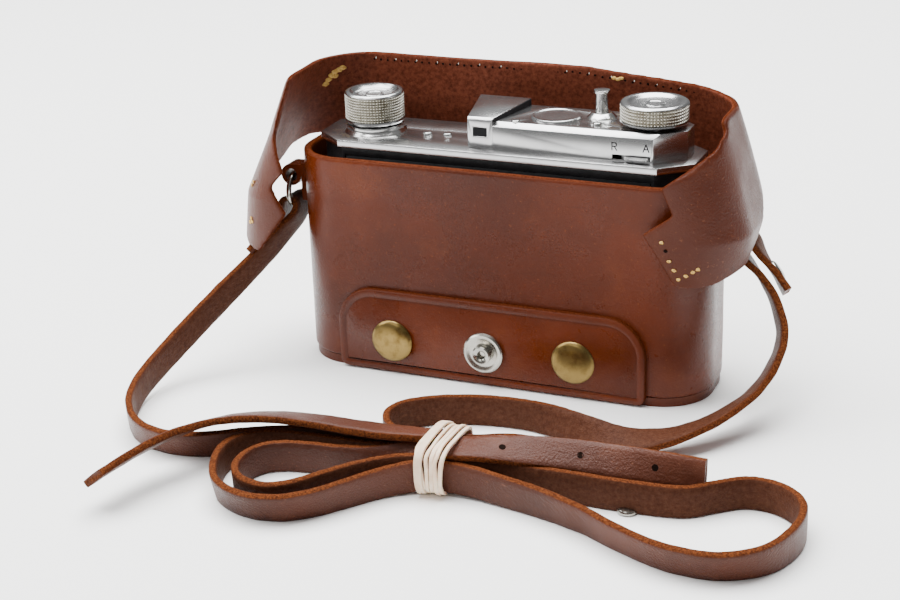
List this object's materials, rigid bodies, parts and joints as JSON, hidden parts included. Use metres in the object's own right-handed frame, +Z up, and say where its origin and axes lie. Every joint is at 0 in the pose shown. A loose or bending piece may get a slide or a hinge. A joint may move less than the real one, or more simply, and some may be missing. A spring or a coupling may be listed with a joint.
{
  "type": "rangefinder camera",
  "caption": "Metal-topped 35 mm rangefinder camera seated in a brown leather half-case, with the leather band of its cover round it and a bundled leather neck strap.",
  "frame": {"origin": "middle of the leather case's underside", "axes": "+X along the camera's width to the wind knob's end, -Y towards the back with the eyepiece, +Y towards the lens, +Z up"},
  "size_m": [0.2395, 0.1951, 0.105],
  "materials": {
    "case_leather": "worn polished cowhide",
    "strap_leather": "dark smooth face, suede edges",
    "satin_chrome": "satin plate",
    "bright_chrome": "polished plate",
    "nickel": "nickel-plated, slightly dulled",
    "steel": "ground steel",
    "brass": "turned brass",
    "body_alloy": "die cast, partly covered in black grained leatherette",
    "black_enamel": "semi-gloss black",
    "lens_glass": "coated optical glass",
    "rubber_band": "natural gum rubber"
  },
  "bodies": {
    "case": {"case_shell": "case_leather", "case_base": "case_leather", "case_insert": "case_leather", "snap_patch": "case_leather", "patch_caps": "nickel", "snap_stud": "nickel", "strap_lugs": "case_leather", "strap_loops": "strap_leather", "strap_left_run": "strap_leather", "strap_right_run": "strap_leather", "strap_hank": "strap_leather", "strap_plain_end": "strap_leather", "strap_punched_end": "strap_leather", "rubber_bands": "rubber_band", "strap_rivets": "nickel"},
    "ring_left": {"strap_ring_left": "nickel"},
    "ring_right": {"strap_ring_right": "nickel"},
    "case_screw": {"case_screw": "nickel"},
    "camera": {"camera_body": "body_alloy", "back_door": "black_enamel", "pressure_plate": "black_enamel", "film_gate": "black_enamel", "bottom_plate": "satin_chrome", "tripod_bush": "brass", "top_plate": "satin_chrome", "rangefinder_cover": "satin_chrome", "viewfinder_hood": "satin_chrome", "finder_eyepiece": "lens_glass", "finder_objective": "lens_glass", "rangefinder_window": "lens_glass", "beam_splitter": "lens_glass", "adjuster_cap": "bright_chrome", "deck_screws": "bright_chrome", "rewind_collar": "bright_chrome", "release_boss": "bright_chrome", "release_spring": "steel", "lens_mount": "satin_chrome", "depth_ring": "satin_chrome"},
    "cover_band": {"cover_band": "case_leather"},
    "wind": {"wind_knob": "bright_chrome", "wind_shaft": "steel", "wind_gear": "brass", "take_up_spool": "black_enamel"},
    "sprocket": {"sprocket_drum": "brass", "sprocket_gear": "brass"},
    "rewind_lift": {"rewind_sleeve": "steel"},
    "rewind": {"rewind_knob": "bright_chrome", "rewind_shaft": "steel"},
    "release": {"release_button": "bright_chrome"},
    "selector": {"selector_slide": "satin_chrome"},
    "focus": {"focus_ring": "bright_chrome"},
    "lens_unit": {"shutter_housing": "black_enamel", "front_bezel": "black_enamel", "front_element": "lens_glass", "rear_element": "lens_glass", "iris_blades": "black_enamel", "shutter_blades": "black_enamel"},
    "aperture": {"aperture_ring": "bright_chrome"},
    "speed": {"speed_ring": "bright_chrome"},
    "cocking": {"cocking_lever": "bright_chrome"}
  },
  "joints": [
    {"name": "ring_left_swing", "type": "hinge", "parent": "case", "child": "ring_left", "pos_m": [-0.082, -0.005, 0.066], "axis": [0, 1, 0], "range_deg": [0, 5]},
    {"name": "ring_right_swing", "type": "hinge", "parent": "case", "child": "ring_right", "pos_m": [0.082, 0.005, 0.066], "axis": [0, -1, 0], "range_deg": [0, 5]},
    {"name": "case_screw_turn", "type": "hinge", "parent": "case", "child": "case_screw", "pos_m": [0.03, 0, 0.002], "axis": [0, 0, 1], "continuous": true},
    {"name": "camera_lift", "type": "slide", "parent": "case", "child": "camera", "axis": [0, 0, 1], "range_m": [0, 0.09]},
    {"name": "cover_band_lift", "type": "slide", "parent": "camera", "child": "cover_band", "axis": [0, 0, 1], "range_m": [0, 0.06]},
    {"name": "wind_turn", "type": "hinge", "parent": "camera", "child": "wind", "pos_m": [0.0525, 0, 0.095], "axis": [0, 0, 1], "continuous": true},
    {"name": "sprocket_turn", "type": "hinge", "parent": "camera", "child": "sprocket", "pos_m": [0.03795, 0, 0.04], "axis": [0, 0, 1], "continuous": true},
    {"name": "rewind_pull", "type": "slide", "parent": "camera", "child": "rewind_lift", "axis": [0, 0, 1], "range_m": [0, 0.006]},
    {"name": "rewind_turn", "type": "hinge", "parent": "rewind_lift", "child": "rewind", "pos_m": [-0.0509, 0, 0.09], "axis": [0, 0, 1], "continuous": true},
    {"name": "release_press", "type": "slide", "parent": "camera", "child": "release", "axis": [0, 0, -1], "range_m": [0, 0.002], "stiffness_N_per_m": 250, "springref_m": -0.003, "deforming": ["release_spring"]},
    {"name": "selector_slide", "type": "slide", "parent": "camera", "child": "selector", "axis": [-1, 0, 0], "range_m": [0, 0.0037]},
    {"name": "focus_turn", "type": "hinge", "parent": "camera", "child": "focus", "pos_m": [0, 0.022, 0.04], "axis": [0, 1, 0], "range_deg": [0, 240]},
    {"name": "lens_travel", "type": "slide", "parent": "camera", "child": "lens_unit", "axis": [0, 1, 0], "range_m": [0, 0.003]},
    {"name": "aperture_turn", "type": "hinge", "parent": "lens_unit", "child": "aperture", "pos_m": [0, 0.032, 0.04], "axis": [0, 1, 0], "range_deg": [0, 60]},
    {"name": "speed_turn", "type": "hinge", "parent": "lens_unit", "child": "speed", "pos_m": [0, 0.04, 0.04], "axis": [0, 1, 0], "range_deg": [0, 110]},
    {"name": "cocking_turn", "type": "hinge", "parent": "lens_unit", "child": "cocking", "pos_m": [0, 0.036, 0.04], "axis": [0, 1, 0], "range_deg": [0, 45]}
  ],
  "couplings": [
    {"joint": "sprocket_turn", "follows": "wind_turn", "ratio": -1.25},
    {"joint": "focus_turn", "follows": "lens_travel", "rad_per_m": 1396.3}
  ]
}
